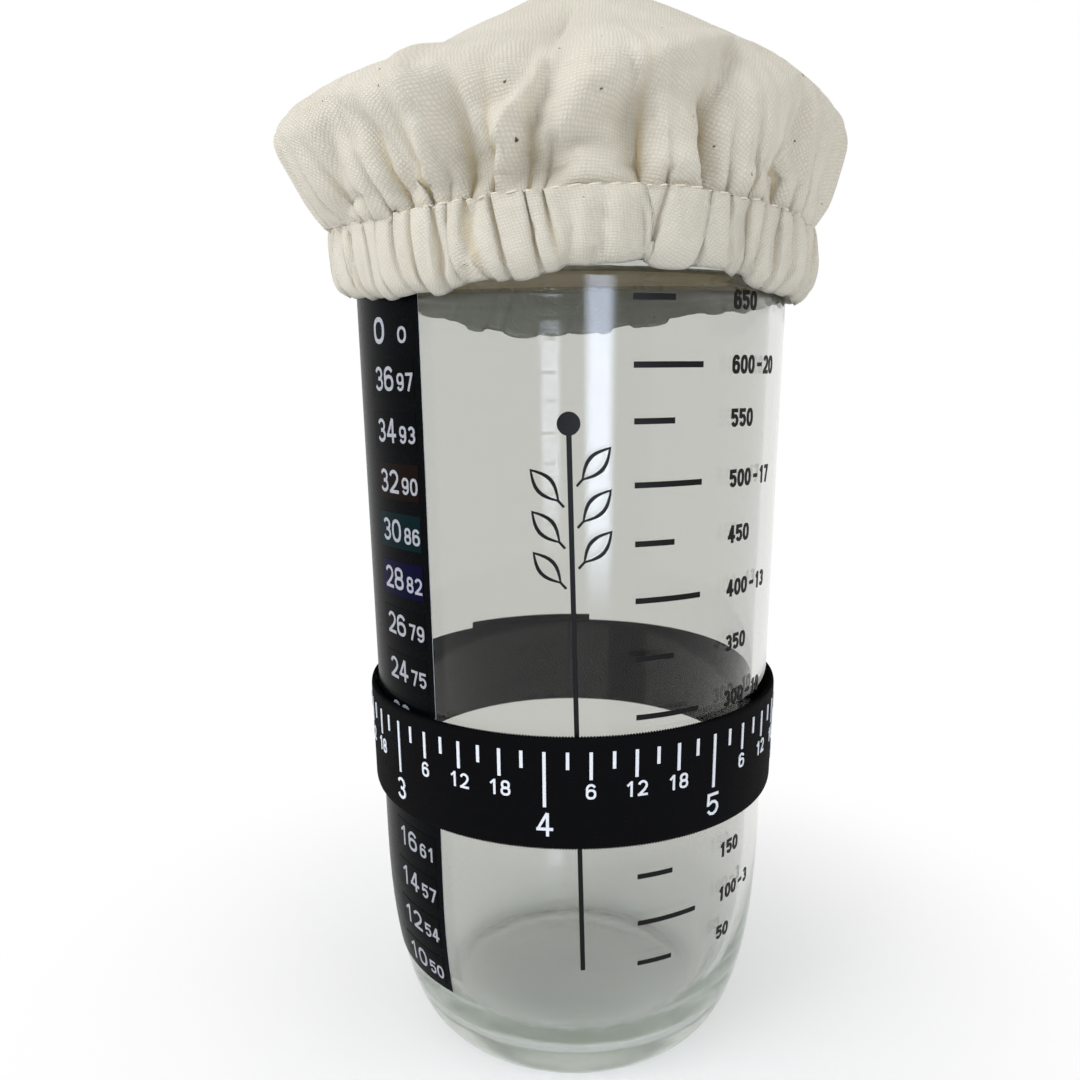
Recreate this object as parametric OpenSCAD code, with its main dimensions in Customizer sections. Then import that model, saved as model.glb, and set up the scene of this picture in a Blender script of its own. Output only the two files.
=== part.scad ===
// Sourdough starter jar: a glass jar with a printed scale, a thermometer strip,
// an elastic feeding band that slides and turns on it, and a gathered cloth cover.
// The origin is the middle of the foot, +Z is up, and the front of the print faces -Y.
// An azimuth is in degrees from the front, and positive towards +X.

/* [Glass jar] */
// Outer diameter of the straight wall
jar_d = 84; // [76:1:100]
// Thickness of the wall
wall_t = 2.75; // [2:0.25:4]
// Height of the rim
jar_h = 172; // [170:1:180]
// Height at which the foot starts to narrow
foot_h = 44; // [36:1:52]
// Radius of the ring that the jar stands on, at its outer edge
foot_r = 32.2; // [28:0.2:35]
// Thickness of the glass under the floor
base_t = 6; // [4:0.5:10]
// Height at which the straight wall ends and the shoulder starts
shoulder_z = 157; // [155:1:160]
// Outer diameter of the neck
neck_d = 78; // [70:1:79]
// Number of short threads on the neck
thread_starts = 6; // [3:1:8]

/* [Printed scale] */
// Thickness of the fired ink
ink_t = 0.1; // [0.06:0.02:0.2]
// Lean of the print round the jar, in degrees
print_lean = 1.35; // [0:0.05:3]
// Azimuth of the index line, halfway up
index_a = 1.3; // [-5:0.1:5]
// Width of the index line
index_w = 0.9; // [0.5:0.1:2]
// Diameter of the dot on the index line
dot_d = 3.9; // [2:0.1:6]
// Azimuth at which the volume marks start
mark_a = 16.2; // [10:0.1:20]
// Length of a short volume mark
short_mark = 7.4; // [4:0.2:10]
// Length of a long volume mark
long_mark = 13; // [8:0.2:16]
// Width of a volume mark
mark_w = 1; // [0.5:0.1:2]
// Azimuth at which the volume numerals start
volume_a = 43.3; // [38:0.1:50]
// Height of a volume numeral
volume_h = 3.2; // [2:0.1:5]

/* [Thermometer strip] */
// Width of the strip
strip_w = 30; // [20:1:32]
// Azimuth of the strip's edge nearest the front
strip_a = -37.4; // [-42:0.1:-34]
// Height of the strip's lower end
strip_z = 19.5; // [16:0.5:24]
// Length of the strip
strip_h = 138; // [134:1:140]
// Thickness of the adhesive
adhesive_t = 0.06; // [0.04:0.02:0.1]
// Thickness of the carrier film
film_t = 0.14; // [0.1:0.02:0.2]
// Thickness of one printed layer on the strip
layer_t = 0.06; // [0.04:0.02:0.1]
// Step between two rows of numerals
row_step = 9.1; // [8:0.1:9.2]

/* [Feeding band] */
// Height of the webbing
band_h = 22; // [16:1:26]
// Height of the webbing's lower edge
band_z = 58.4; // [50:0.2:70]
// Thickness of the webbing
band_t = 1.2; // [1:0.1:2]
// Diameter of a rubber thread in the webbing
rubber_d = 0.6; // [0.4:0.05:0.7]
// Number of rubber threads
rubber_n = 6; // [3:1:8]
// Angle that one day takes on the band
day_a = 44.1; // [40:0.1:44.5]
// Thickness of the raised white print
print_t = 0.15; // [0.1:0.05:0.3]

/* [Cloth cover] */
// Radius of the crown at its shoulder
crown_r = 50.8; // [48:0.2:60]
// Height of the crown's shoulder
crown_z = 182; // [178:0.5:188]
// Height of the top of the crown
crown_top = 209; // [198:0.5:220]
// Height of the seam between the crown and the hem
seam_z = 168.4; // [166:0.2:170]
// Thickness of the cloth, with its small wrinkles
cloth_t = 1.2; // [1:0.1:2]
// Width of the elastic in the hem
elastic_w = 5.6; // [4:0.2:6]
// Number of gathers round the hem
gathers = 24; // [16:1:28]
// Part of a main fold's full depth that the crown has
fold_depth = 1; // [0.2:0.1:1.2]
// Radius of the flat cloth at the seam
seam_cut = 75; // [72:0.5:80]

/* [Hidden] */

jar_r = jar_d / 2;
jar_ri = jar_r - wall_t;
neck_r = neck_d / 2;
neck_ri = neck_r - 2.7;
neck_z = shoulder_z + 5.5;
// The foot's outline, from the table up, as [radius, height]
foot_curve = bezier([foot_r, 0], [foot_r + 5.1, 3.7], [jar_r, 16.5], [jar_r, foot_h], 16);
// The floor's outline, from the middle out
floor_curve = bezier([24, base_t], [34, base_t + 0.4], [jar_ri, 16], [jar_ri, foot_h], 12);
kick_h = 1.8;
kick_r = foot_r - 4;
lug_r = 0.9;
lug_arc = 46;
lug_tilt = 4;
lug_z = 167.4;

// Heights of the marks from 50 to 650, as they are printed
mark_z = [32, 41, 51, 61.5, 72, 83, 94, 104.5, 114.5, 124.5, 135, 144, 154.5];
// The ounce figure beside each hundred
ounces = [3, 7, 10, 13, 17, 20];
index_z = [31.7, 134.8];
lean_z = 80;
volume_w = 2.05;
volume_pen = 0.68;
volume_gap = 0.24;
leaf_h = 7.4;
leaf_pen = 0.45;
// Heights of the leaves' stalk ends, and the side that each is on
leaves = [[108, -1], [111.5, 1], [115, -1], [118.5, 1], [122, -1], [125.5, 1]];

strip_a0 = strip_a - strip_w / jar_r * 180 / PI;
film_r0 = adhesive_t;
film_r1 = film_r0 + film_t;
strip_stack = film_r1 + 2 * layer_t;
row_top_z = 142.3;
row_n = 14;
window_a = [-59.6, -39.8];
window_h = 6.6;
large_a = -57.4;
large_h = 4.3;
large_w = 3.25;
small_a = -46.4;
small_h = 3.1;
small_w = 2.1;

gap = 0.3;
band_ri = jar_r + strip_stack + gap;
band_r = band_ri + band_t;
day_n = 7;
day_first_a = -6.45 - 3 * day_a;
lap_a = [173.5, 217];
lap_shift = 1.2;
tick_top = band_h - 2.7;
tick_w = 0.6;
tick_l = [10.7, 3.3, 5.3];
hour_h = 3;
hour_base = 10.2;
day_h = 4.6;
day_base = 2.8;
rubber_clear = 0.05;

hem_ri = band_ri + 0.1;
hem_r = 47;
hem_z = 155.6;
elastic_z = 160.5;
elastic_r = [43.5, 44.6];
crown_cols = 60;
crown_rows = 9;
hem_cols = 108;
seam_gap = 0.06;
crown_eye = [0, 0, 178];
stitch_n = 60;

function bezier(a, b, c, d, n) = [for (i = [0 : n]) let (t = i / n, u = 1 - t)
    u * u * u * a + 3 * u * u * t * b + 3 * u * t * t * c + t * t * t * d];
function reversed(p) = [for (i = [len(p) - 1 : -1 : 0]) p[i]];
function unit(v) = v / norm(v);
function arc(c, rx, ry, a0, a1, n = 8) = [for (i = [0 : n]) let (a = a0 + (a1 - a0) * i / n)
    [c.x + rx * cos(a), c.y + ry * sin(a)]];

// Outer radius of the glass at a height
function wall_r(z) = lookup(z, [for (p = foot_curve) [p.y, p.x]]);
// Heights at which a skin between two heights bends with the glass
function bends(z0, z1) = concat([z0], [for (p = foot_curve) if (p.y > z0 && p.y < z1) p.y], [z1]);
// Degrees by which the lean moves the print round the jar at a height
function lean(z) = -print_lean * (z - lean_z) / jar_r;
// Degrees that a length takes round a radius
function turn(length, r) = length / r * 180 / PI;

// A layer on the glass, from t0 to t1 outside its wall, between two heights and azimuths
module layer(t0, t1, z0, z1, a0, a1) {
    zs = bends(z0, z1);
    rotate([0, 0, a0 - 90])
        rotate_extrude(angle = a1 - a0, $fn = 180)
            polygon(concat([for (z = zs) [wall_r(z) + t0, z]],
                [for (z = reversed(zs)) [wall_r(z) + t1, z]]));
}

// Puts a flat shape, drawn as seen from outside, through a wall of radius r
module through(r, a, z) {
    rotate([0, 0, a])
        translate([0, 3 - r, z])
            rotate([90, 0, 0])
                linear_extrude(6)
                    children();
}

// A pen stroke of width s along a path
module stroke(path, s) {
    n = len(path) - 1;
    sides = [for (i = [0 : n]) let (t = unit(path[min(i + 1, n)] - path[max(i - 1, 0)]))
        s / 2 * [-t.y, t.x]];
    polygon(concat([for (i = [0 : n]) path[i] + sides[i]],
        reversed([for (i = [0 : n]) path[i] - sides[i]])));
}

// An oval ring drawn with a pen of width s
module ring(c, rx, ry, s) {
    difference() {
        polygon([for (i = [0 : 19]) oval(c, rx + s / 2, ry + s / 2, i * 18)]);
        polygon([for (i = [0 : 19]) oval(c, rx - s / 2, ry - s / 2, i * 18)]);
    }
}
function oval(c, rx, ry, a) = [c.x + rx * sign(cos(a)) * pow(abs(cos(a)), 0.85),
    c.y + ry * sign(sin(a)) * pow(abs(sin(a)), 0.85)];

// One numeral in a box of width w and height h, standing on the middle of its lower edge
module numeral(d, w, h, s) {
    a = (w - s) / 2;
    b = h - s;
    translate([0, s / 2]) {
        if (d == 0) ring([0, b / 2], a, b / 2, s);
        if (d == 1) {
            stroke([[a / 4, -s / 2], [a / 4, b + s / 2]], s);
            stroke([[a / 4, b + s / 6], [-a * 0.8, b * 0.74]], s * 0.9);
        }
        if (d == 2) {
            stroke(concat(arc([0, b * 0.7], a, b * 0.3, 165, -25),
                [[a * 0.4, b * 0.36], [-a * 0.8, s * 0.3]]), s);
            stroke([[-a - s / 2, 0], [a + s / 2, 0]], s);
        }
        if (d == 3) {
            stroke(arc([0, b * 0.745], a * 0.9, b * 0.255, 160, -100), s);
            stroke(arc([0, b * 0.265], a, b * 0.265, 100, -160), s);
        }
        if (d == 4) {
            stroke([[a * 0.35, b + s / 2], [-a, b * 0.28]], s * 0.9);
            stroke([[-a - s / 2, b * 0.28], [a + s / 2, b * 0.28]], s);
            stroke([[a * 0.4, -s / 2], [a * 0.4, b + s / 2]], s);
        }
        if (d == 5) {
            stroke([[-a, b], [a + s / 4, b]], s);
            stroke([[-a * 0.85, b + s / 2], [-a * 0.95, b * 0.45]], s);
            stroke(arc([0, b * 0.32], a, b * 0.32, 140, -155), s);
        }
        if (d == 6) six(a, b, s);
        if (d == 7) {
            stroke([[-a - s / 4, b], [a + s / 2, b]], s);
            stroke([[a, b], [-a * 0.3, -s / 2]], s);
        }
        if (d == 8) {
            ring([0, b * 0.745], a * 0.88, b * 0.255, s);
            ring([0, b * 0.26], a, b * 0.26, s);
        }
        if (d == 9) translate([0, b]) rotate(180) six(a, b, s);
    }
}
module six(a, b, s) {
    ring([0, b * 0.3], a, b * 0.3, s);
    stroke(concat([[-a * 0.97, b * 0.24]], arc([0, b * 0.68], a, b * 0.32, 175, 25)), s);
}

// A number cut through a wall of radius r. Its left edge, or its middle, is at azimuth a.
module number(n, r, a, z, w, h, s, space, centred = false) {
    figures = str(n);
    step = w + space;
    length = len(figures) * step - space;
    start = centred ? -length / 2 : 0;
    for (i = [0 : len(figures) - 1])
        through(r, a + turn(start + w / 2 + i * step, r), z)
            numeral(ord(figures[i]) - ord("0"), w, h, s);
}

// Glass

module glass_jar() {
    rim = bezier([neck_r, jar_h - 2.2], [neck_r, jar_h], [neck_ri, jar_h], [neck_ri, jar_h - 1.8], 8);
    shoulder = bezier([jar_r, shoulder_z], [jar_r, shoulder_z + 2.8],
        [neck_r, neck_z - 3], [neck_r, neck_z], 8);
    inside = bezier([neck_ri, neck_z], [neck_ri, neck_z - 3],
        [jar_ri, shoulder_z + 1], [jar_ri, shoulder_z - 2], 8);
    kick = [for (i = [0 : 6]) let (r = kick_r * i / 6) [r, kick_h * (1 - pow(i / 6, 2))]];
    color([0.8, 0.88, 0.85, 0.4]) union() {
        rotate_extrude($fn = 180)
            polygon(concat(kick, foot_curve, shoulder, rim, inside, reversed(floor_curve),
                [[0, base_t + 0.8]]));
        for (i = [0 : thread_starts - 1])
            rotate([0, 0, i * 360 / thread_starts])
                translate([0, 0, lug_z])
                    rotate([lug_tilt, 0, 0])
                        rotate([0, 0, -lug_arc / 2])
                            rotate_extrude(angle = lug_arc, $fn = 180)
                                translate([neck_r, 0])
                                    circle(r = lug_r, $fn = 24);
    }
}

module volume_marks() {
    color([0.06, 0.06, 0.06])
        for (i = [0 : len(mark_z) - 1]) {
            length = i % 2 == 1 ? long_mark : short_mark;
            a = mark_a + lean(mark_z[i]);
            layer(0, ink_t, mark_z[i] - mark_w / 2, mark_z[i] + mark_w / 2,
                a, a + turn(length, jar_r));
        }
}

module volume_numerals() {
    figures_w = 3 * (volume_w + volume_gap);
    color([0.06, 0.06, 0.06])
        intersection() {
            layer(0, ink_t, mark_z[0] - volume_h, mark_z[12] + volume_h, 35, 75);
            union() {
                for (i = [0 : len(mark_z) - 1]) {
                    a = volume_a + lean(mark_z[i]);
                    base = mark_z[i] - volume_h / 2;
                    number(50 * (i + 1), jar_r, a, base, volume_w, volume_h, volume_pen, volume_gap);
                    if (i % 2 == 1) {
                        dash_a = a + turn(figures_w + 1.6, jar_r);
                        through(jar_r, dash_a, mark_z[i])
                            square([1.6, volume_pen], center = true);
                        number(ounces[(i - 1) / 2], jar_r, dash_a + turn(1.6, jar_r), base,
                            volume_w, volume_h, volume_pen, volume_gap);
                    }
                }
            }
        }
}

module index_line() {
    mid = (index_z[0] + index_z[1]) / 2;
    color([0.06, 0.06, 0.06])
        intersection() {
            layer(0, ink_t, index_z[0], index_z[1] + dot_d, -8, 12);
            union() {
                through(jar_r, index_a + lean(mid), mid)
                    rotate(print_lean)
                        square([index_w, index_z[1] - index_z[0]], center = true);
                through(jar_r, index_a + lean(index_z[1]), index_z[1])
                    circle(d = dot_d, $fn = 48);
            }
        }
}

// The outline of one pointed leaf that stands on the origin and leans outwards
module leaf(side) {
    half = leaf_h / 2;
    belly = 1.75;
    rotate(-side * 42) {
        difference() {
            polygon(concat(leaf_edge(half, belly), reversed(leaf_edge(half, -belly))));
            translate([0, leaf_pen * 1.3])
                scale((half - 1.3 * leaf_pen) / half)
                    polygon(concat(leaf_edge(half, belly - leaf_pen),
                        reversed(leaf_edge(half, leaf_pen - belly))));
        }
        translate([-leaf_pen / 2, -1.2]) square([leaf_pen, 1.5]);
    }
}
function leaf_edge(half, belly) = [for (i = [0 : 8]) [belly * sin(i * 22.5), half * i / 4]];

module leaf_ornament() {
    color([0.06, 0.06, 0.06])
        intersection() {
            layer(0, ink_t, 104, 136, -18, 20);
            for (l = leaves)
                through(jar_r, index_a + lean(l[0]) + l[1] * turn(1.9, jar_r), l[0])
                    leaf(l[1]);
        }
}

// Thermometer strip

module strip_adhesive() {
    inset = 0.6;
    color([0.75, 0.75, 0.72])
        layer(0, film_r0, strip_z + inset, strip_z + strip_h - inset,
            strip_a0 + turn(inset, jar_r), strip_a - turn(inset, jar_r));
}

module strip_film() {
    color([0.05, 0.05, 0.06])
        layer(film_r0, film_r1, strip_z, strip_z + strip_h, strip_a0, strip_a);
}

module crystal_windows() {
    color([0.1, 0.25, 0.25])
        for (i = [0 : row_n - 1]) {
            z = row_top_z - i * row_step;
            layer(film_r1, film_r1 + layer_t, z - window_h / 2, z + window_h / 2,
                window_a[0], window_a[1]);
        }
}

// Keeps what of the numerals lies in the printed layer over the windows
module strip_print() {
    intersection() {
        layer(film_r1 + layer_t, strip_stack, strip_z, strip_z + strip_h, strip_a0, strip_a);
        union() children();
    }
}

module large_scale_numerals() {
    color([0.72, 0.74, 0.78])
        strip_print()
            for (i = [0 : row_n - 1])
                number(36 - 2 * i, jar_r, large_a, row_top_z - i * row_step - large_h / 2,
                    large_w, large_h, 0.62, 0.5);
}

module small_scale_numerals() {
    color([0.72, 0.74, 0.78])
        strip_print()
            for (i = [0 : row_n - 1])
                number(round((36 - 2 * i) * 9 / 5 + 32), jar_r, small_a,
                    row_top_z - i * row_step - large_h / 2, small_w, small_h, 0.5, 0.4);
}

module degree_rings() {
    color([0.72, 0.74, 0.78])
        intersection() {
            layer(film_r1, film_r1 + layer_t, 146, 156, strip_a0, strip_a);
            union() {
                through(jar_r, -54, 150.6) ring([0, 0], 1.7, 1.9, 0.8);
                through(jar_r, -43.6, 149.6) ring([0, 0], 1, 1.15, 0.5);
            }
        }
}

// Feeding band

module band_webbing() {
    edge = 0.35;
    half = band_t / 2;
    color([0.05, 0.05, 0.06])
        difference() {
            rotate_extrude($fn = 180)
                translate([band_ri, band_z])
                    polygon([[edge, 0], [band_t - edge, 0], [band_t, edge], [band_t, band_h - edge],
                        [band_t - edge, band_h], [edge, band_h], [0, band_h - edge], [0, edge]]);
            for (i = [1 : rubber_n])
                rubber_ring(i, rubber_d / 2 + rubber_clear);
        }
}

module rubber_ring(i, r) {
    rotate_extrude($fn = 180)
        translate([band_ri + band_t / 2, band_z + band_h * i / (rubber_n + 1)])
            circle(r = r, $fn = 20);
}

module rubber_threads() {
    color([0.75, 0.7, 0.6])
        for (i = [1 : rubber_n])
            rubber_ring(i, rubber_d / 2);
}

// A raised layer on the band, between heights above its lower edge
module band_layer(r0, r1, z0, z1, a0, a1) {
    rotate([0, 0, a0 - 90])
        rotate_extrude(angle = a1 - a0, $fn = 180)
            translate([r0, band_z + z0])
                square([r1 - r0, z1 - z0]);
}

module band_lap() {
    color([0.05, 0.05, 0.06])
        band_layer(band_r, band_r + band_t, lap_shift, band_h + lap_shift, lap_a[0], lap_a[1]);
}

module band_ticks() {
    color([0.93, 0.94, 0.96])
        for (i = [0 : 8 * day_n]) {
            length = i % 8 == 0 ? tick_l[0] : tick_l[1 + (i + 1) % 2];
            a = day_first_a + i * day_a / 8;
            half = turn(tick_w / 2, band_r);
            band_layer(band_r, band_r + print_t, tick_top - length, tick_top, a - half, a + half);
        }
}

module hour_numerals() {
    color([0.93, 0.94, 0.96])
        band_print()
            for (i = [0 : day_n - 1])
                for (k = [1 : 3])
                    number(6 * k, band_r, day_first_a + (i + k / 4) * day_a, band_z + hour_base,
                        1.9, hour_h, 0.42, 0.45, centred = true);
}

module day_numerals() {
    color([0.93, 0.94, 0.96])
        band_print()
            for (i = [0 : day_n - 1])
                number(i + 1, band_r, day_first_a + i * day_a, band_z + day_base,
                    3.1, day_h, 0.55, 0.4, centred = true);
}

// Keeps what of the numerals lies in the raised print
module band_print() {
    intersection() {
        band_layer(band_r, band_r + print_t, 1, band_h - 1, lap_a[1] - 360, lap_a[0]);
        union() children();
    }
}

module band_stitching() {
    stitch = 2;
    color([0.16, 0.16, 0.17])
        for (a = [lap_a[0] + 2, lap_a[0] + 4.5, lap_a[1] - 4.5, lap_a[1] - 2])
            for (i = [0 : 6])
                band_layer(band_r + band_t, band_r + band_t + 0.25, 2.4 + i * 2.8,
                    2.4 + i * 2.8 + stitch, a - 0.25, a + 0.25);
}

// Cloth cover

// How far the gathers push the hem out at an azimuth, from -1 to 1
function gather(a) = 0.7 * cos(gathers * a + 60 * sin(3 * a) + 40 * sin(5 * a))
    + 0.3 * cos((gathers - 10) * a + 130);
// How far the crown bulges to its sides at an azimuth
function bulge(a) = 1.2 * cos(a) - 2 * sin(a) - 0.9 * cos(2 * a) - 2.4 * sin(2 * a)
    - 0.8 * cos(3 * a) - 1.5 * sin(3 * a);
// How much higher the hem hangs at an azimuth
function hang(a) = 1.6 * cos(a) - 0.7 * sin(a) - 0.8 * cos(2 * a) + 0.7 * sin(2 * a)
    + 1.9 * cos(3 * a) + 1.2 * sin(3 * a);
function polar(r, a, z) = [r * sin(a), -r * cos(a), z];

// The crown's outline from the seam to the middle of its top
crown_side = bezier([hem_r - 0.8, seam_z + seam_gap], [51, seam_z + 3.5], [crown_r + 0.3, crown_z - 7],
    [crown_r, crown_z], 3);
crown_dome = bezier([crown_r, crown_z], [crown_r - 0.5, crown_z + 9], [25, crown_top - 6.6],
    [5, crown_top], 6);
crown_line = concat(crown_side, [for (i = [1 : 6]) crown_dome[i]]);

// How far the top's middle is from point i of the outline, along it
function run(i) = i == crown_rows ? 0 : norm(crown_line[i + 1] - crown_line[i]) + run(i + 1);
// How far point i is from the middle of the flat cloth
function cut(i) = 6 + (seam_cut - 6) * run(i) / run(0);
function ease(t) = let (u = min(1, max(0, t))) u * u * (3 - 2 * u);

// Main folds, each with its height, its widths to the left and right of its line, and the
// line itself as [distance from the cloth's middle, azimuth]. A valley is below zero.
main_folds = [
    [-6.5, 7, 4, [[18, 4], [42, -3], [58, -4.5], [66, -7], [75, -8.5]]],
    [3.2, 6, 4, [[44, 40], [56, 14], [61.5, 5], [64, -1.5], [67, -6.5]]],
    [-4, 4, 4, [[58, -19.5], [65, -19], [75, -20.5]]],
    [-3, 4, 4, [[56, -41.5], [64, -33], [75, -33.5]]],
    [-2.2, 4, 4, [[60, -43.5], [71, -49], [75, -55.5]]],
    [-4.2, 6, 4, [[56, 10], [62, 12], [75, 14.2]]],
    [-3.6, 4, 4, [[46, 42], [51.5, 36.5], [58.5, 30.5], [75, 29]]],
    [2, 6, 6, [[60, 20], [66, 21], [72, 21]]],
    [2, 6, 6, [[60, 38], [66, 38], [73, 39]]],
    [-3.2, 4, 4, [[56, 56], [65.5, 52.5], [75, 48.5]]],
    [-3.4, 5, 4, [[50, 70], [75, 80]]],
    [1, 6, 6, [[54, 90], [70, 91]]],
    [-3, 4, 5, [[46, 108], [75, 101]]],
    [-3.6, 5, 4, [[40, 120], [75, 127]]],
    [2.2, 6, 6, [[50, 137], [72, 139]]],
    [-2.6, 4, 4, [[52, 156], [75, 150]]],
    [-3.8, 4, 5, [[38, 170], [75, 176]]],
    [1.8, 6, 6, [[52, 189], [72, 188]]],
    [-2.8, 4, 4, [[50, 208], [75, 203]]],
    [-3.4, 5, 4, [[42, 222], [75, 229]]],
    [2, 6, 6, [[54, 240], [72, 242]]],
    [-2.8, 4, 4, [[52, 259], [75, 254]]],
    [-3.4, 4, 5, [[48, 275], [75, 281]]]];

// How far a fold pushes the cloth out at a distance from its middle and an azimuth
function push(f, out, r, a) = let (
    first = f[3][0].x,
    last = f[3][len(f[3]) - 1].x,
    off = turned(a - lookup(out, f[3])) * r * PI / 180)
    f[0] * ease((out - first + 6) / 9) * (1 - ease((out - last) / 5))
    * exp(-abs(off) / (off < 0 ? f[1] : f[2]));
// The same angle between minus and plus half a turn
function turned(a) = (a + 900) % 360 - 180;
function sum(v, i = 0) = i == len(v) ? 0 : v[i] + sum(v, i + 1);

// A point of the crown's outer face, in row i and at an azimuth
function crown_point(i, a) = let (
    p = crown_line[i],
    s = (p.y - crown_line[0].y) / (crown_top - crown_line[0].y),
    folds = sum([for (f = main_folds) push(f, cut(i), p.x, a)]),
    r = p.x + sin(180 * min(1, 1.1 * s + 0.05)) * bulge(a) + fold_depth * folds * (i == 0 ? 0.2 : 1),
    z = p.y + 5 * s * sin(a) * p.x / 50 + 0.5 * hang(a) * (1 - s))
    polar(r, a, z);
function inward(p) = p + cloth_t * unit(crown_eye - p);

// A closed face between two loops of n points that start at points a and b
function band_faces(a, b, n) = [for (k = [0 : n - 1]) let (m = (k + 1) % n)
    each [[a + k, b + k, b + m], [a + k, b + m, a + m]]];

module cover_crown() {
    n = crown_cols;
    rows = crown_rows + 1;
    outer = [for (i = [0 : crown_rows]) for (k = [0 : n - 1]) crown_point(i, k * 360 / n)];
    top = [0, 0, crown_point(crown_rows, 0).z + 0.2];
    points = concat(outer, [for (p = outer) inward(p)], [top, inward(top)]);
    size = rows * n;
    faces = concat(
        [for (i = [0 : crown_rows - 1]) each band_faces(i * n, (i + 1) * n, n)],
        [for (i = [0 : crown_rows - 1]) each band_faces(size + (i + 1) * n, size + i * n, n)],
        band_faces(size, 0, n),
        [for (k = [0 : n - 1]) [crown_rows * n + k, 2 * size, crown_rows * n + (k + 1) % n]],
        [for (k = [0 : n - 1]) [size + crown_rows * n + (k + 1) % n, 2 * size + 1,
            size + crown_rows * n + k]]);
    color([0.93, 0.9, 0.82]) polyhedron(points, faces, convexity = 6);
}

// The hem's section at an azimuth, as points from the inner lower edge round the outside
function hem_section(a) = let (
    g = gather(a),
    low = hem_z + hang(a) - 0.6 * g,
    high = seam_z + 0.5 * hang(a))
    [[hem_ri + 0.3, low + 1.2], [hem_ri + 1.6, low], [hem_r - 1.6 + 0.5 * g, low],
    [hem_r - 0.3 + g, low + 1.6], [hem_r + 0.5 + 1.2 * g, low + 0.45 * (high - low)],
    [hem_r + 0.2 * g, high - 1.6], [hem_r - 0.9 + 0.3 * g, high], [hem_ri + 1.4, high],
    [hem_ri, high - 1.2], [hem_ri, low + 0.45 * (high - low)]];

module cover_hem() {
    n = hem_cols;
    k = 10;
    points = [for (j = [0 : n - 1]) let (a = j * 360 / n) each [for (p = hem_section(a)) polar(p.x, a, p.y)]];
    faces = [for (j = [0 : n - 1]) let (m = (j + 1) % n) each [for (i = [0 : k - 1]) let (q = (i + 1) % k)
        each [[j * k + i, j * k + q, m * k + q], [j * k + i, m * k + q, m * k + i]]]];
    color([0.93, 0.9, 0.82])
        difference() {
            polyhedron(points, faces, convexity = 6);
            elastic_ring(0.2);
        }
}

module elastic_ring(extra) {
    rotate_extrude($fn = 180)
        translate([elastic_r[0] - extra, elastic_z - extra])
            square([elastic_r[1] - elastic_r[0] + 2 * extra, elastic_w + 2 * extra]);
}

module cover_elastic() {
    color([0.95, 0.95, 0.93]) elastic_ring(0);
}

module cover_stitching() {
    length = 3;
    color([0.96, 0.95, 0.9])
        for (i = [0 : stitch_n - 1]) {
            a = (i + 0.5) * 360 / stitch_n;
            p = hem_section(a)[5];
            rotate([0, 0, a])
                translate([-length / 2, -p.x - 0.1, p.y + 0.5])
                    rotate([0, 90, 0])
                        cylinder(r = 0.25, h = length, $fn = 16);
        }
}

glass_jar();
volume_marks();
volume_numerals();
index_line();
leaf_ornament();
strip_adhesive();
strip_film();
crystal_windows();
large_scale_numerals();
small_scale_numerals();
degree_rings();
band_webbing();
band_lap();
rubber_threads();
band_ticks();
hour_numerals();
day_numerals();
band_stitching();
cover_crown();
cover_hem();
cover_elastic();
cover_stitching();
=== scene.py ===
# %% [markdown]
# # A sourdough starter jar
# A straight glass jar stands under a gathered cotton cover. It carries a printed scale, a thermometer
# strip and a black elastic band. Here each soft or clear piece is modelled again over the solid one, and
# every piece gets a material made of nodes.

# %% The solid model
import math
import bpy
import numpy as np
from mathutils import Matrix, Vector


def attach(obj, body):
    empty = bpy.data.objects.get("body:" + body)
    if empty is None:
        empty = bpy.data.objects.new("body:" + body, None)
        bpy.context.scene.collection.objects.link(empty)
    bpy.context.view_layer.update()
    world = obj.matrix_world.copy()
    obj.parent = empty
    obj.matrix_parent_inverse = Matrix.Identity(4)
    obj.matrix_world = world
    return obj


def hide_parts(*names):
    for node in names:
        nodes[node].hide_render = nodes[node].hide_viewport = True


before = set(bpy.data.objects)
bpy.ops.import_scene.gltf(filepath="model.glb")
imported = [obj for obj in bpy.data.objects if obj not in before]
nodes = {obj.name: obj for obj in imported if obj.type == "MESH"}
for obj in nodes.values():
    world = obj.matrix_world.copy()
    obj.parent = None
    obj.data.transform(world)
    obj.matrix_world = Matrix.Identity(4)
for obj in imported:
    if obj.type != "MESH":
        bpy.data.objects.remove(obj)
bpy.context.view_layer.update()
MM = 0.001

# %% [markdown]
# The camera comes first. The picture of the real jar was taken from close by and a little above, so its
# sides lean together downwards. The lens, the place and the tilt below come from a fit to the print, the
# band and the outline, in the jar's own millimetres.

# %% The camera
PICTURE_PX, SENSOR_MM = 1080, 36
FOCAL_PX, CENTRE_Y_PX = 933.8, 632.7
PITCH, ROLL, YAW = 0.2647, -0.0119, -0.0346
CAMERA_AT = Vector((0, -198.73, 141.84)) * MM

ahead = Vector((math.sin(YAW) * math.cos(PITCH), math.cos(YAW) * math.cos(PITCH), -math.sin(PITCH)))
level = Vector((math.cos(YAW), -math.sin(YAW), 0))
upright = level.cross(ahead)
side = math.cos(ROLL) * level + math.sin(ROLL) * upright
up = math.cos(ROLL) * upright - math.sin(ROLL) * level

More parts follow.
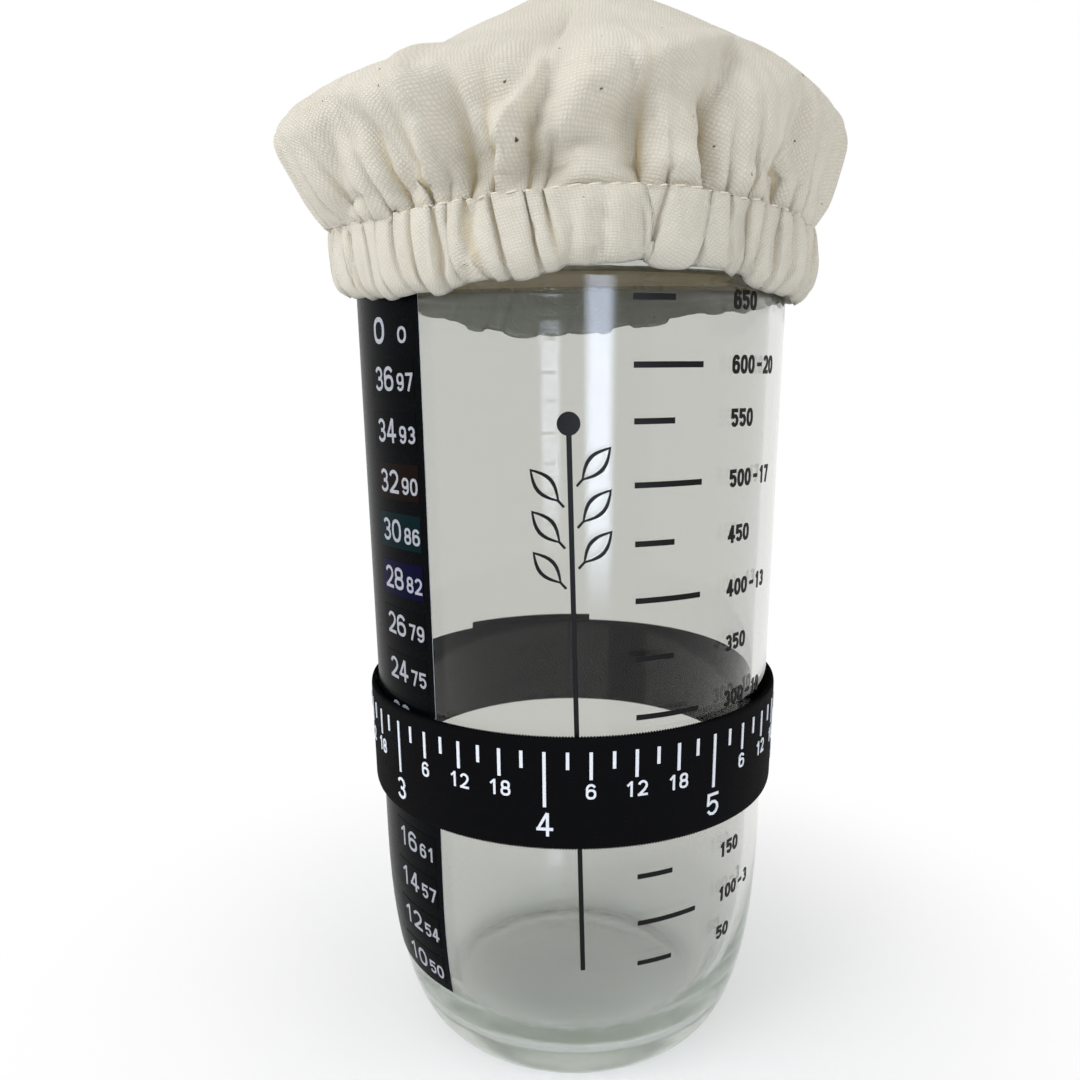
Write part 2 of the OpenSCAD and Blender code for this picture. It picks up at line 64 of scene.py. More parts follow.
lens = bpy.data.cameras.new("camera")
lens.sensor_width = SENSOR_MM
lens.lens = FOCAL_PX / PICTURE_PX * SENSOR_MM
lens.shift_y = (CENTRE_Y_PX - PICTURE_PX / 2) / PICTURE_PX
lens.clip_start = 0.01
camera = bpy.data.objects.new("camera", lens)
camera.matrix_world = Matrix.Translation(CAMERA_AT) @ Matrix((side, up, -ahead)).transposed().to_4x4()
bpy.context.scene.collection.objects.link(camera)
bpy.context.scene.camera = camera
bpy.context.scene.view_settings.view_transform = "Standard"
print("lens in mm:", round(lens.lens, 2), "and its shift:", round(lens.shift_y, 4))

# %% [markdown]
# Colours are written as people read them, in sRGB hex, but Blender counts light, so one function turns
# them into linear values. A second one adds a node with its settings and links, and a third starts a
# material with its Principled shader.

# %% Colour and nodes
def linear(colour):
    """An sRGB hex colour as linear red, green, blue and alpha."""
    parts = [int(colour[i:i + 2], 16) / 255 for i in (1, 3, 5)]
    return [c / 12.92 if c <= 0.04045 else ((c + 0.055) / 1.055) ** 2.4 for c in parts] + [1]


def add(tree, kind, inputs=(), **settings):
    """Adds a node. A value sets an input, and another node or a socket is linked to it."""
    node = tree.nodes.new("ShaderNode" + kind)
    for name, value in settings.items():
        setattr(node, name, value)
    for name, value in dict(inputs).items():
        if isinstance(value, bpy.types.Node):
            value = next(s for s in value.outputs if s.enabled)
        if isinstance(value, bpy.types.NodeSocket):
            tree.links.new(value, node.inputs[name])
        else:
            node.inputs[name].default_value = value
    return node


def ramp(tree, factor, stops):
    """A colour ramp over (position, hex colour) stops."""
    node = add(tree, "ValToRGB", {"Fac": factor})
    points = node.color_ramp.elements
    while len(points) < len(stops):
        points.new(1)
    for point, (place, colour) in zip(points, stops):
        point.position, point.color = place, linear(colour)
    return node


def material(name, **inputs):
    """A new material and its tree. Names of the shader's inputs have underscores for spaces."""
    made = bpy.data.materials.new(name)
    made.use_nodes = True
    tree = made.node_tree
    tree.nodes.clear()
    shader = add(tree, "BsdfPrincipled", {k.replace("_", " "): v for k, v in inputs.items()})
    add(tree, "OutputMaterial", {"Surface": shader})
    return made, tree, shader


def link(tree, shader, **inputs):
    """Links nodes to the shader's inputs."""
    for name, node in inputs.items():
        out = node if isinstance(node, bpy.types.NodeSocket) else next(s for s in node.outputs if s.enabled)
        tree.links.new(out, shader.inputs[name.replace("_", " ")])


def over(tree, below, amount, colour):
    """Lays a colour over another one, as far as the amount says."""
    mix = add(tree, "Mix", {"Factor": amount}, data_type="RGBA")
    tree.links.new(below, mix.inputs[6])
    mix.inputs[7].default_value = linear(colour)
    return mix.outputs[2]


def in_mm(tree):
    """Places on the object in millimetres."""
    place = add(tree, "TexCoord")
    return add(tree, "VectorMath", {0: place.outputs["Object"], "Scale": 1 / MM}, operation="SCALE")


def give(obj, made):
    """Gives a piece or a solid its material."""
    obj.data.materials.clear()
    obj.data.materials.append(made)
    return obj


print("a mid grey, linear:", round(linear("#808080")[0], 3))

# %% [markdown]
# The jar stands on a white sheet in even light. The floor and the world look white to the camera, and to
# what the glass mirrors and lets through. Further out the floor turns to the white of the backdrop, so no
# horizon shows, and near the jar it is matte, so it keeps the shadow. The window is only there to be
# mirrored by the glass. The other two lamps light the cloth from both sides, so its folds show.

# %% Floor and light
SEEN_WHITE = ("Is Camera Ray", "Is Glossy Ray", "Is Transmission Ray")


def seen(tree):
    """1 for rays that show the backdrop, and 0 for rays that carry light."""
    path = add(tree, "LightPath")
    both = add(tree, "Math", {0: path.outputs[SEEN_WHITE[0]], 1: path.outputs[SEEN_WHITE[1]]}, operation="MAXIMUM")
    return add(tree, "Math", {0: both, 1: path.outputs[SEEN_WHITE[2]]}, operation="MAXIMUM")


world = bpy.data.worlds.new("studio")
bpy.context.scene.world = world
world.use_nodes = True
sky = world.node_tree
sky.nodes.clear()
ROOM_LIGHT = 0.57
strength = add(sky, "MapRange", {"Value": seen(sky), "To Min": ROOM_LIGHT, "To Max": 1.0})
add(sky, "OutputWorld", {"Surface": add(sky, "Background", {"Color": linear("#ffffff"), "Strength": strength})})

FLOOR_M = 3.0
bpy.ops.mesh.primitive_grid_add(size=FLOOR_M * 2, x_subdivisions=2, y_subdivisions=2)
floor = bpy.context.object
floor.name = "floor"
floor.location.z = -0.02 * MM
paper, tree, shader = material("white paper", Roughness=0.9, Base_Color=linear("#fbfbfb"))
spot = add(tree, "NewGeometry")
away = add(tree, "VectorMath", {0: spot.outputs["Position"]}, operation="LENGTH")
far = add(tree, "MapRange", {"Value": away.outputs["Value"], "From Min": 0.034, "From Max": 0.15, "To Min": 0.28},
          interpolation_type="SMOOTHSTEP")
glow = add(tree, "Math", {0: far, 1: seen(tree)}, operation="MULTIPLY")
white = add(tree, "Emission", {"Color": linear("#ffffff"), "Strength": 1.0})
mixed = add(tree, "MixShader", {0: glow, 1: shader, 2: white})
tree.links.new(mixed.outputs[0], tree.nodes["Material Output"].inputs["Surface"])
give(floor, paper)

LAMPS = {"window": ((0.09, -0.36, 0.2), 0.12, 0.4, 3.2), "left": ((-0.4, -0.3, 0.45), 0.35, 0.35, 2.0),
         "right": ((0.4, -0.3, 0.4), 0.4, 0.4, 0.8)}


def soften(lamp, colour):
    """Lets a lamp fade out to its edges, like a window with a curtain."""
    lamp.use_nodes = True
    tree = lamp.node_tree
    across = add(tree, "SeparateXYZ", {0: add(tree, "NewGeometry").outputs["Parametric"]})
    fades = []
    for axis, share in (("X", 0.35), ("Y", 0.2)):
        middle = add(tree, "Math", {0: across.outputs[axis], 1: 0.5}, operation="SUBTRACT")
        off = add(tree, "Math", {0: middle}, operation="ABSOLUTE")
        fades.append(add(tree, "MapRange", {"Value": off, "From Min": 0.5 - share, "From Max": 0.5, "To Min": 1.0,
                                            "To Max": 0.0}, interpolation_type="SMOOTHSTEP"))
    both = add(tree, "Math", {0: fades[0], 1: fades[1]}, operation="MULTIPLY")
    tree.nodes["Emission"].inputs["Color"].default_value = linear(colour)
    tree.links.new(both.outputs[0], tree.nodes["Emission"].inputs["Strength"])


for name, (place, width, height, watts) in LAMPS.items():
    lamp = bpy.data.lights.new(name, "AREA")
    lamp.shape, lamp.size, lamp.size_y, lamp.energy = "RECTANGLE", width, height, watts
    stand = bpy.data.objects.new(name, lamp)
    stand.location = place
    stand.rotation_mode = "QUATERNION"
    stand.rotation_quaternion = (Vector((0, 0, 0.13)) - stand.location).to_track_quat("-Z", "Y")
    stand.visible_diffuse = name != "window"
    stand.visible_glossy = stand.visible_transmission = name == "window"
    bpy.context.scene.collection.objects.link(stand)
soften(bpy.data.lights["window"], "#dbe7ff")
BOUNCES = 32
cycles = bpy.context.scene.cycles
cycles.max_bounces = cycles.transmission_bounces = cycles.glossy_bounces = BOUNCES
print("lamps:", len(LAMPS), "and the room's light:", ROOM_LIGHT)

# %% [markdown]
# Pressed jars are soda-lime glass, clear with a touch of green that only shows where the glass is thick.
# The foot, where the hot glass met the mould's cold base, is a little wavy and dull, and blurs what it bends.
# The solid jar has flat facets that would show as bars of light, so the jar is turned again on a lathe
# from the same outline, in finer steps. Threads stand out of its neck, and a height for each point of the
# neck makes them, so that the glass stays one closed skin.

# %% The glass jar
JAR_R, WALL, JAR_H, FOOT_H, FOOT_R, BASE = 42, 2.75, 172, 44, 32.2, 6
SHOULDER_Z, NECK_R, NECK_WALL = 157, 39, 2.7
LUGS, LUG_R, LUG_ARC, LUG_TILT, LUG_Z = 6, 0.9, 46, 4, 167.4
INNER_R, NECK_IN, NECK_Z = JAR_R - WALL, NECK_R - NECK_WALL, SHOULDER_Z + 5.5


def bezier(a, b, c, d, steps):
    """Points on a Bezier curve, the last one left out."""
    t = np.linspace(0, 1, steps, endpoint=False)[:, None]
    a, b, c, d = (np.array(p, float) for p in (a, b, c, d))
    return (1 - t) ** 3 * a + 3 * (1 - t) ** 2 * t * b + 3 * (1 - t) * t * t * c + t ** 3 * d


def mesh_piece(name, points, faces, smooth=True):
    """A new mesh from points in millimetres."""
    data = bpy.data.meshes.new(name)
    data.from_pydata((np.asarray(points) * MM).tolist(), [], faces)
    data.update()
    data.polygons.foreach_set("use_smooth", [smooth] * len(data.polygons))
    piece = bpy.data.objects.new(name, data)
    bpy.context.scene.collection.objects.link(piece)
    return piece


def ring_faces(rows, columns, closed=False):
    """Quads between rows of points that run round a ring."""
    return [(i * columns + k, i * columns + (k + 1) % columns,
             (i + 1) % rows * columns + (k + 1) % columns, (i + 1) % rows * columns + k)
            for i in range(rows if closed else rows - 1) for k in range(columns)]


def round_the_axis(outline, turn):
    """Turns a closed outline of (radius, height, ...) round the axis at azimuths from the front."""
    outline = np.asarray(outline, float)
    r, z = outline[:, 0][:, None], outline[:, 1][:, None]
    return np.stack([r * np.sin(turn), -r * np.cos(turn), z + 0 * turn], -1)


def glass_outline():
    """The jar's outline from the middle of the push-up, up the outside and down to the floor's middle."""
    up_neck = np.linspace(NECK_Z, JAR_H - 2.2, 26, endpoint=False)
    foot = bezier((FOOT_R, 0), (FOOT_R + 5.1, 3.7), (JAR_R, 16.5), (JAR_R, FOOT_H), 40)
    kick = [(r, 1.8 * (1 - (r / (FOOT_R - 4)) ** 2)) for r in np.linspace(0.01, FOOT_R - 4, 12)]
    shoulder = bezier((JAR_R, SHOULDER_Z), (JAR_R, SHOULDER_Z + 2.8), (NECK_R, NECK_Z - 3), (NECK_R, NECK_Z), 12)
    rim = bezier((NECK_R, JAR_H - 2.2), (NECK_R, JAR_H), (NECK_IN, JAR_H), (NECK_IN, JAR_H - 1.8), 14)
    inside = bezier((NECK_IN, NECK_Z), (NECK_IN, NECK_Z - 3), (INNER_R, SHOULDER_Z + 1), (INNER_R, SHOULDER_Z - 2), 12)
    bottom = bezier((INNER_R, FOOT_H), (INNER_R, 16), (34, BASE + 0.4), (24, BASE), 30)
    middle = [(r, BASE + 0.8 * (1 - r / 24)) for r in np.linspace(24, 0.01, 10)]
    return np.vstack([kick, foot, [(JAR_R, z) for z in np.linspace(FOOT_H, SHOULDER_Z, 30, endpoint=False)],
                      shoulder, [(NECK_R, z) for z in up_neck], rim, [(NECK_IN, JAR_H - 1.8)], inside,
                      [(INNER_R, z) for z in np.linspace(SHOULDER_Z - 2, FOOT_H, 30, endpoint=False)],
                      bottom, middle])


GLASS_COLUMNS = 240
turn = np.linspace(0, 2 * math.pi, GLASS_COLUMNS, endpoint=False)
outline = glass_outline()
points = round_the_axis(outline, turn)
on_neck = (abs(outline[:, 0] - NECK_R) < 0.01) & (outline[:, 1] > NECK_Z)
for lug in range(LUGS):
    off = (np.degrees(turn) - lug * 360 / LUGS + 180) % 360 - 180
    high = LUG_Z + NECK_R * np.sin(np.radians(off)) * math.tan(math.radians(LUG_TILT))
    bump = LUG_R ** 2 - (outline[:, 1][:, None] - high) ** 2
    bump = np.sqrt(np.clip(bump, 0, None)) * (abs(off) < LUG_ARC / 2) * on_neck[:, None]
    points[..., 0] += bump * np.sin(turn)
    points[..., 1] -= bump * np.cos(turn)
rows = len(outline)
jar = mesh_piece("jar_glass", points.reshape(-1, 3), ring_faces(rows, GLASS_COLUMNS)
                 + [tuple(range(GLASS_COLUMNS))[::-1], tuple(range((rows - 1) * GLASS_COLUMNS, rows * GLASS_COLUMNS))])

glass, tree, shader = material("pressed soda-lime glass", IOR=1.52, Roughness=0.0, Base_Color=linear("#dfdfdc"),
                               Specular_Tint=linear("#a0a0a0"), Transmission_Weight=1.0)
height = add(tree, "SeparateXYZ", {0: in_mm(tree)})
low = add(tree, "MapRange", {"Value": height.outputs["Z"], "From Min": 12.0, "From Max": 30.0, "To Min": 1.0,
                             "To Max": 0.0}, interpolation_type="SMOOTHSTEP")
waves = add(tree, "TexNoise", {"Vector": in_mm(tree), "Scale": 0.12, "Detail": 2.0})
wavy = add(tree, "Math", {0: low, 1: waves.outputs["Fac"]}, operation="MULTIPLY")
link(tree, shader, Roughness=add(tree, "Math", {0: low, 1: 0.12}, operation="MULTIPLY"),
     Normal=add(tree, "Bump", {"Height": wavy, "Strength": 1.0, "Distance": 0.00015}))
tint = add(tree, "VolumeAbsorption", {"Color": linear("#b1c9b3"), "Density": 9.0})
tree.links.new(tint.outputs[0], tree.nodes["Material Output"].inputs["Volume"])
path = add(tree, "LightPath")
clear = add(tree, "BsdfTransparent", {"Color": linear("#e9ece9")})
lit = add(tree, "MixShader", {"Fac": path.outputs["Is Shadow Ray"], 1: shader, 2: clear})
tree.links.new(lit.outputs[0], tree.nodes["Material Output"].inputs["Surface"])
give(jar, glass)
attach(jar, "jar")
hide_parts("glass_jar")
print("the jar has", rows, "rows of", GLASS_COLUMNS, "points")

# %% [markdown]
# The scale is ceramic ink, screen printed on the glass and fired in. It is a dense black with a satin
# skin, and a fine unevenness breaks its shine.

# %% Fired ink
ink, tree, shader = material("fired ceramic ink", Roughness=0.5, IOR=1.5, Specular_IOR_Level=0.12,
                             Base_Color=linear("#0c0c0c"))
grains = add(tree, "TexNoise", {"Vector": in_mm(tree), "Scale": 4.0, "Detail": 3.0})
link(tree, shader, Base_Color=ramp(tree, grains.outputs["Fac"], [(0.3, "#070707"), (0.7, "#111111")]),
     Normal=add(tree, "Bump", {"Height": grains.outputs["Fac"], "Strength": 0.2, "Distance": 0.00002}))
for name in ("volume_marks", "volume_numerals", "index_line", "leaf_ornament"):
    give(nodes[name], ink)
print("ink on", 4, "pieces")

# %% [markdown]
# The thermometer is a strip of glossy PET film over black ink. The clear adhesive behind it takes the ink's
# black. Under each
# numeral lies a window of liquid crystal, which shows colour only near the air's own temperature: brown,
# then green, then blue.

# %% Thermometer strip
ROW_TOP_Z, ROW_STEP = 142.3, 9.1
film, tree, shader = material("black PET film", Roughness=0.22, IOR=1.57, Specular_IOR_Level=0.012,
                              Base_Color=linear("#060709"))
dust = add(tree, "TexNoise", {"Vector": in_mm(tree), "Scale": 1.6, "Detail": 6.0})
# Painted highlight: faces of the film that don't face straight out, its cut edges, turn light grey. The edge of the
# film is clear, and the grey stands in for the light caught in it.
way_out = add(tree, "VectorMath", {0: add(tree, "VectorMath", {0: in_mm(tree), 1: (1, 1, 0)}, operation="MULTIPLY")},
              operation="NORMALIZE")
facing = add(tree, "VectorMath", {0: way_out, 1: add(tree, "TexCoord").outputs["Normal"]}, operation="DOT_PRODUCT")
clear_edge_highlight = add(tree, "MapRange", {"Value": facing.outputs["Value"], "From Min": 0.5, "From Max": 0.9, "To Min": 1.0,
                                    "To Max": 0.0})
black = ramp(tree, dust.outputs["Fac"], [(0.35, "#050608"), (0.75, "#0c0d10")])
link(tree, shader, Base_Color=over(tree, black.outputs[0], clear_edge_highlight, "#b4b7bb"),
     Roughness=add(tree, "MapRange", {"Value": dust.outputs["Fac"], "To Min": 0.16, "To Max": 0.36}))
give(nodes["strip_film"], film)

crystal, tree, shader = material("liquid crystal under PET film", Roughness=0.24, IOR=1.57,
                                 Specular_IOR_Level=0.012)
height = add(tree, "SeparateXYZ", {0: in_mm(tree)})
row = add(tree, "MapRange", {"Value": height.outputs["Z"], "From Min": ROW_TOP_Z - 5.5 * ROW_STEP,
                             "From Max": ROW_TOP_Z - 0.5 * ROW_STEP})
colours = ramp(tree, row, [(0, "#060709"), (0.2, "#0a0929"), (0.4, "#071c20"), (0.6, "#160e0b"), (0.8, "#060709")])
colours.color_ramp.interpolation = "CONSTANT"
link(tree, shader, Base_Color=colours)
give(nodes["crystal_windows"], crystal)

print_grey, tree, shader = material("grey screen print", Roughness=0.45, IOR=1.5)
grains = add(tree, "TexNoise", {"Vector": in_mm(tree), "Scale": 3.0, "Detail": 3.0})
link(tree, shader, Base_Color=ramp(tree, grains.outputs["Fac"], [(0.3, "#8d919b"), (0.7, "#abafb9")]))
for name in ("large_scale_numerals", "small_scale_numerals", "degree_rings"):
    give(nodes[name], print_grey)

adhesive, tree, shader = material("clear acrylic adhesive", Roughness=0.3, IOR=1.47)
grains = add(tree, "TexNoise", {"Vector": in_mm(tree), "Scale": 2.0, "Detail": 2.0})
link(tree, shader, Base_Color=ramp(tree, grains.outputs["Fac"], [(0.3, "#0d0e10"), (0.7, "#151619")]))
give(nodes["strip_adhesive"], adhesive)
print("the strip's rows run down from", ROW_TOP_Z, "mm")

# %% [markdown]
# The band is woven elastic: black polyester yarns with rubber threads inside. Weft yarns turn round at
# both edges and leave a row of tiny loops there. The loops are modelled, because they show against the
# white behind, and the yarns on the face are bump.

# %% Feeding band
BAND_Z, BAND_H, BAND_IN, BAND_T, LOOP_MM = 58.4, 22, 42.62, 1.2, 0.57
LAP_FROM, LAP_TO, LAP_UP = 173.5, 217, 1.2


def webbing(name, r_in, low, first, last, loops):
    """A ribbon of webbing between two azimuths, with loops along both edges."""
    columns = int(loops * 4)
    a = np.radians(np.linspace(first, last, columns + 1))
    tooth = 0.16 * np.sin(np.arange(columns + 1) / 4 * 2 * math.pi)
    rise = np.array([0, 0.12, 0.5, 1, BAND_H - 1, BAND_H - 0.5, BAND_H - 0.12, BAND_H])
    inset = np.array([0.42, 0.2, 0.05, 0, 0, 0.05, 0.2, 0.42])
    rows = []
    for out in (True, False):
        order = range(len(rise)) if out else range(len(rise) - 1, -1, -1)
        for i in order:
            r = r_in + BAND_T - inset[i] if out else r_in + inset[i]
            edge = (i < 2) * -tooth + (i > len(rise) - 3) * tooth
            rows.append(np.stack([r * np.sin(a), -r * np.cos(a), low + rise[i] + edge + 0 * a], -1))
    count, across = len(rows), len(a)
    closed = abs(last - first - 360) < 1e-6
    if closed:
        rows, across = [r[:-1] for r in rows], across - 1
    points = np.array(rows).reshape(-1, 3)
    if closed:
        return mesh_piece(name, points, ring_faces(count, across, closed=True))
    faces = [(i * across + k, i * across + k + 1, (i + 1) % count * across + k + 1, (i + 1) % count * across + k)
             for i in range(count) for k in range(across - 1)]
    ends = [tuple(i * across for i in range(count)), tuple(i * across + across - 1 for i in range(count))[::-1]]
    return mesh_piece(name, points, faces + ends)


yarn, tree, shader = material("woven polyester elastic", Roughness=0.75, IOR=1.5, Specular_IOR_Level=0.04,
                               Base_Color=linear("#08090b"))
place = add(tree, "SeparateXYZ", {0: in_mm(tree)})
angle = add(tree, "Math", {0: place.outputs["X"], 1: place.outputs["Y"]}, operation="ARCTAN2")
weft = add(tree, "Math", {0: add(tree, "Math", {0: angle, 1: BAND_IN * 2 * math.pi / LOOP_MM}, operation="MULTIPLY")},
           operation="SINE")
warp = add(tree, "Math", {0: add(tree, "Math", {0: place.outputs["Z"], 1: 2 * math.pi / 0.5}, operation="MULTIPLY")},
           operation="SINE")
weave = add(tree, "Math", {0: weft, 1: warp}, operation="MULTIPLY")
link(tree, shader, Base_Color=ramp(tree, weave, [(0.0, "#050506"), (1.0, "#0e0f12")]),
     Normal=add(tree, "Bump", {"Height": weave, "Strength": 0.6, "Distance": 0.00008}))
loops = round(2 * math.pi * (BAND_IN + BAND_T) / LOOP_MM)
band = give(webbing("elastic_webbing", BAND_IN, BAND_Z, 0, 360, loops), yarn)
lap = give(webbing("elastic_lap", BAND_IN + BAND_T, BAND_Z + LAP_UP, LAP_FROM, LAP_TO,
                   round(loops * (LAP_TO - LAP_FROM) / 360)), yarn)
for piece, node in ((band, "band_webbing"), (lap, "band_lap")):
    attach(piece, "band")
    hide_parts(node)

white_ink, tree, shader = material("white plastisol print", Roughness=0.6, IOR=1.5)
grains = add(tree, "TexNoise", {"Vector": in_mm(tree), "Scale": 5.0, "Detail": 3.0})
link(tree, shader, Base_Color=ramp(tree, grains.outputs["Fac"], [(0.3, "#d3dae8"), (0.7, "#eef3fb")]),
     Normal=add(tree, "Bump", {"Height": grains.outputs["Fac"], "Strength": 0.4, "Distance": 0.00003}))
for name in ("band_ticks", "hour_numerals", "day_numerals"):
    give(nodes[name], white_ink)

thread, tree, shader = material("black polyester thread", Roughness=0.6, IOR=1.5)
twist = add(tree, "TexWave", {"Vector": in_mm(tree), "Scale": 2.0, "Distortion": 2.0})
link(tree, shader, Base_Color=ramp(tree, twist.outputs["Fac"], [(0, "#101113"), (1, "#2c2d31")]))
give(nodes["band_stitching"], thread)
rubber, tree, shader = material("extruded latex thread", Roughness=0.65, IOR=1.52)
grains = add(tree, "TexNoise", {"Vector": in_mm(tree), "Scale": 2.0})
link(tree, shader, Base_Color=ramp(tree, grains.outputs["Fac"], [(0.3, "#c2b08c"), (0.7, "#d6c7a4")]))
give(nodes["rubber_threads"], rubber)
print("loops along the band's edge:", loops)

# %% [markdown]
# The cover is one round piece of unbleached cotton, 196 mm across. A seam runs round it 75 mm from its
# middle, and the rim outside the seam is a channel for the elastic. The elastic draws the seam's ring from
# 471 mm to 292 mm, so the cloth lies in creases there. Each crease has an azimuth, the cloth that it takes
# in, and how far it reaches up the crown. Those in front are the ones of the picture.

# %% Creases
CROWN_R, CROWN_Z, CROWN_TOP, SEAM_Z, SEAM_R, HEM_Z, HEM_IN = 50.8, 182, 209, 168.4, 46.4, 155.6, 42.9
CUT_R, SEAM_CUT, MIDDLE_CUT, CUT_AREA = 98, 75, 12, 0.0302
COLUMNS, CAP_ROWS, CROWN_ROWS, HEM_ROWS, INNER_ROWS = 560, 7, 56, 24, 9
FRONT_CREASES = [
    (-97, 4, 6), (-90, 5, 9), (-84, 3, 5), (-78, 6, 10), (-72, 3, 5), (-67, 4, 7), (-61, 5, 12), (-56, 5, 9),
    (-48.5, 4, 13), (-44, 3, 6), (-38, 4, 8), (-33.5, 6, 16), (-28, 7, 14), (-24.5, 3, 4), (-20.5, 7, 16),
    (-15.5, 6, 18), (-8.5, 7, 14), (-5, 5, 8), (14.2, 7, 20), (19, 4, 5), (28.2, 8, 18), (33, 4, 6),
    (38.5, 5, 8), (43, 3, 5), (48.5, 7, 14), (54, 4, 6), (60, 5, 10), (65, 3, 5), (71, 6, 12), (78, 4, 7),
    (85, 5, 9)]
BACK_FROM, BACK_TO = 92, 258
chance = np.random.default_rng(5)


def around(angle):
    """The same angle between minus and plus half a turn."""
    return (angle + math.pi) % (2 * math.pi) - math.pi


def ease(t):
    """A smooth step from 0 to 1."""
    t = np.clip(t, 0, 1)
    return t * t * (3 - 2 * t)


def creases():
    """Azimuth, cloth taken in and reach of every crease, those at the back by seeded chance."""
    rows = list(FRONT_CREASES)
    at = BACK_FROM
    while at < BACK_TO:
        rows.append((at, chance.uniform(3, 7), chance.uniform(5, 16)))
        at += chance.choice([4.5, 5.5, 7, 10]) * chance.uniform(0.85, 1.15)
    rows = np.array(sorted((math.radians(a) % (2 * math.pi), taken, reach) for a, taken, reach in rows))
    rows[:, 1] *= 2 * math.pi * (SEAM_CUT - SEAM_R) / rows[:, 1].sum()
    return rows.T


def seam_columns(at, taken):
    """For each column of the cloth: its azimuth at the seam, how deep it lies, and its place in the cut."""
    gap = np.diff(np.append(at, at[0] + 2 * math.pi)) * SEAM_R
    step = (taken.sum() + gap.sum()) / COLUMNS
    place, azimuth, depth, start = [], [], [], 0.0
    for j, first in enumerate(at * SEAM_R):
        mouth, this, after = min(0.45, 0.22 * gap[j]), taken[j] / 2, taken[(j + 1) % len(at)] / 2
        length = this + gap[j] + after
        u = np.linspace(0, length, max(5, round(length / step)), endpoint=False)
        marks = [0, this + mouth, this + gap[j] - mouth, length]
        azimuth.append(np.interp(u, marks, [first, first + mouth, first + gap[j] - mouth, first + gap[j]]))
        depth.append(np.interp(u, marks, [this * 0.92, 0, 0, after * 0.92]))
        place.append(start + u)
        start += length
    place = np.concatenate(place) / start * 2 * math.pi + at[0]
    return np.concatenate(azimuth) / SEAM_R, np.concatenate(depth), place


crease_at, crease_cloth, crease_reach = creases()
seam_turn, seam_depth, cut_turn = seam_columns(crease_at, crease_cloth)
cut_turn = cut_turn + np.mean(seam_turn - cut_turn)
from_crease = around(seam_turn[:, None] - crease_at)
nearest = abs(from_crease).argmin(axis=1)
panel_mm = abs(from_crease).min(axis=1) * SEAM_R
print("creases:", len(crease_at), "over", len(cut_turn), "columns of cloth")

# %% [markdown]
# Above the seam the cloth stands up and out over the rim, and a few large folds cross it. A fold has a
# height (a valley's is below zero), a width to either side of its line, and the line itself as azimuths
# and distances from the cloth's middle. The long slanting folds in front come from the picture.

# %% Large folds
FOLDS = [
    (-4.0, 2.6, 1.8, [(-19.5, 58), (-19, 65), (-19, 67.5), (-20.5, 75)]),
    (-6.5, 7, 3, [(1, 30), (-3, 42), (-4.5, 58), (-7, 66), (-8.5, 75)]),
    (3.4, 1.8, 1.8, [(-3.5, 50), (-5.5, 58), (-8, 61.5), (-11.5, 64.5), (-13, 68.5), (-15, 73)]),
    (-3.0, 1.5, 3, [(-17, 66), (-16, 70), (-15.5, 75)]),
    (-3.0, 3.5, 2.2, [(-41.5, 56), (-33, 64), (-30.5, 68.5), (-33.5, 75)]),
    (2.2, 2.4, 1.4, [(-31, 40), (-29, 48.5), (-24.5, 61.5), (-25, 66), (-27, 71)]),
    (-2.4, 1.8, 2.4, [(-22, 58), (-23, 67), (-28, 75)]),
    (-2.2, 2.5, 4, [(-43.5, 60), (-49, 71), (-55.5, 75)]),
    (-4.2, 6, 1.4, [(10, 56), (12, 62), (12.5, 68), (14.2, 75)]),
    (-3.6, 3.6, 1.8, [(42, 46), (36.5, 51.5), (30.5, 58.5), (28, 62), (28, 67), (29, 75)]),
    (2.4, 5, 5, [(20, 60), (21, 66), (21, 72)]),
    (1.8, 6, 6, [(38, 60), (38, 66), (39, 73)]),
    (-3.2, 3, 2.4, [(56, 56), (54.5, 61), (52.5, 65.5), (46, 70), (48.5, 75)]),
    (3.2, 6, 4, [(40, 44), (14, 56), (5, 61.5), (-1.5, 64), (-6.5, 67)]),
    (-2.2, 3, 3.5, [(18, 60), (5, 64.5), (2.5, 66.5), (-4, 69)])]


CAP_RISE = 2.8
BACK_FOLDS = [
    (-3.4, 4, 2.6, [(70, 50), (80, 75)]), (1, 5, 5, [(90, 54), (91, 70)]), (-3, 3, 4, [(108, 46), (101, 75)]),
    (-3.6, 5, 3, [(120, 40), (127, 75)]), (2.2, 5, 5, [(137, 50), (139, 72)]), (-2.6, 3, 3, [(156, 52), (150, 75)]),
    (-3.8, 4, 5, [(170, 38), (176, 75)]), (1.8, 6, 6, [(189, 52), (188, 72)]), (-2.8, 3, 2.5, [(208, 50), (203, 75)]),
    (-3.4, 5, 3, [(222, 42), (229, 75)]), (2, 5, 5, [(240, 54), (242, 72)]), (-2.8, 3, 4, [(259, 52), (254, 75)]),
    (-3.4, 4, 3, [(275, 48), (281, 75)])]


def small_folds():
    """Short folds for the sides and the back, by seeded chance."""
    folds, at = [], 66
    while at < 300:
        top, lean = chance.uniform(56, 66), chance.uniform(-5, 5)
        folds.append((-chance.uniform(0.8, 1.8), chance.uniform(1.2, 3), chance.uniform(1, 2.5),
                      [(at + lean, top), (at, SEAM_CUT)]))
        at += chance.uniform(7, 15)
    return folds


